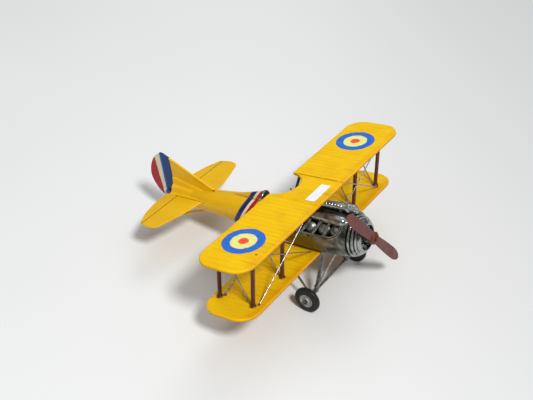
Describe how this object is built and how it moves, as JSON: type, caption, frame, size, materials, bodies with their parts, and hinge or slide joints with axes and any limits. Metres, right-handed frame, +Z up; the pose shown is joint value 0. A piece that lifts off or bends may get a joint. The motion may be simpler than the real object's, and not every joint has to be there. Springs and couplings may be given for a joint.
{
  "type": "propeller plane model",
  "caption": "Painted sheet-metal biplane model with braced wings, rounded bare-metal nose, turning two-blade propeller and turning wheels, resting on wheels and tail skid.",
  "frame": {"origin": "middle of the standing model in plan, on the ground under it", "axes": "+X towards the propeller, +Y towards the left wing tip, +Z up from the ground"},
  "size_m": [0.2692, 0.278, 0.1203],
  "materials": {
    "yellow_paint": "satin paint, lightly worn",
    "striped_paint": "cream and red stripes, satin",
    "brown_paint": "satin brown",
    "aged_pewter": "aged bare metal with dark wash",
    "dark_metal": "dark cast",
    "black_paint": "matt black",
    "bright_wire": "drawn wire",
    "tyre_black": "worn black",
    "dull_steel": "dull steel",
    "white_label": "blank white sticker"
  },
  "bodies": {
    "airframe": {"axle": "dull_steel", "axle_nuts": "dull_steel", "bank_covers": "aged_pewter", "blank_label": "white_label", "cabane_struts": "dark_metal", "cockpit_coaming": "aged_pewter", "cockpit_tub": "black_paint", "cowl_ring_front": "aged_pewter", "cowl_ring_middle": "aged_pewter", "cowl_ring_rear": "aged_pewter", "crankcase": "dark_metal", "cross_wires": "bright_wire", "engine_block": "dark_metal", "engine_cylinders": "dark_metal", "fin": "yellow_paint", "flying_wires": "bright_wire", "fuselage_shell": "yellow_paint", "gear_legs_front": "dull_steel", "gear_legs_middle": "dull_steel", "gear_legs_rear": "dull_steel", "gun_barrel": "aged_pewter", "gun_jacket": "aged_pewter", "headrest_fairing": "yellow_paint", "headrest_pad": "black_paint", "landing_wires": "bright_wire", "lower_wing_left_bottom_skin": "yellow_paint", "lower_wing_left_top_skin": "yellow_paint", "lower_wing_right_bottom_skin": "yellow_paint", "lower_wing_right_top_skin": "yellow_paint", "nose_bulkhead": "dark_metal", "nose_cowl": "aged_pewter", "nose_lip": "aged_pewter", "rudder": "striped_paint", "seat": "black_paint", "strut_inner_front_left": "brown_paint", "strut_inner_front_right": "brown_paint", "strut_inner_rear_left": "brown_paint", "strut_inner_rear_right": "brown_paint", "strut_outer_front_left": "brown_paint", "strut_outer_front_right": "brown_paint", "strut_outer_rear_left": "brown_paint", "strut_outer_rear_right": "brown_paint", "strut_rivets": "brown_paint", "tail_fairing": "yellow_paint", "tail_skid": "yellow_paint", "tailplane_left": "yellow_paint", "tailplane_right": "yellow_paint", "upper_wing_bottom_skin": "yellow_paint", "upper_wing_top_skin": "yellow_paint", "window_frames": "aged_pewter", "window_ribs": "aged_pewter", "windscreen": "dark_metal"},
    "propeller": {"propeller_blades": "brown_paint", "propeller_boss": "brown_paint", "propeller_shaft": "dull_steel", "propeller_nut": "brown_paint"},
    "wheel_left": {"tyre_left": "tyre_black", "wheel_hub_left": "dull_steel"},
    "wheel_right": {"tyre_right": "tyre_black", "wheel_hub_right": "dull_steel"}
  },
  "joints": [
    {"name": "propeller_spin", "type": "hinge", "parent": "airframe", "child": "propeller", "pos_m": [0.12519, 0, 0.07386], "axis": [0.9861, 0, 0.1664], "continuous": true},
    {"name": "wheel_left_spin", "type": "hinge", "parent": "airframe", "child": "wheel_left", "pos_m": [0.08395, 0.0445, 0.01295], "axis": [0, 1, 0], "continuous": true},
    {"name": "wheel_right_spin", "type": "hinge", "parent": "airframe", "child": "wheel_right", "pos_m": [0.08395, -0.0445, 0.01295], "axis": [0, 1, 0], "continuous": true}
  ]
}
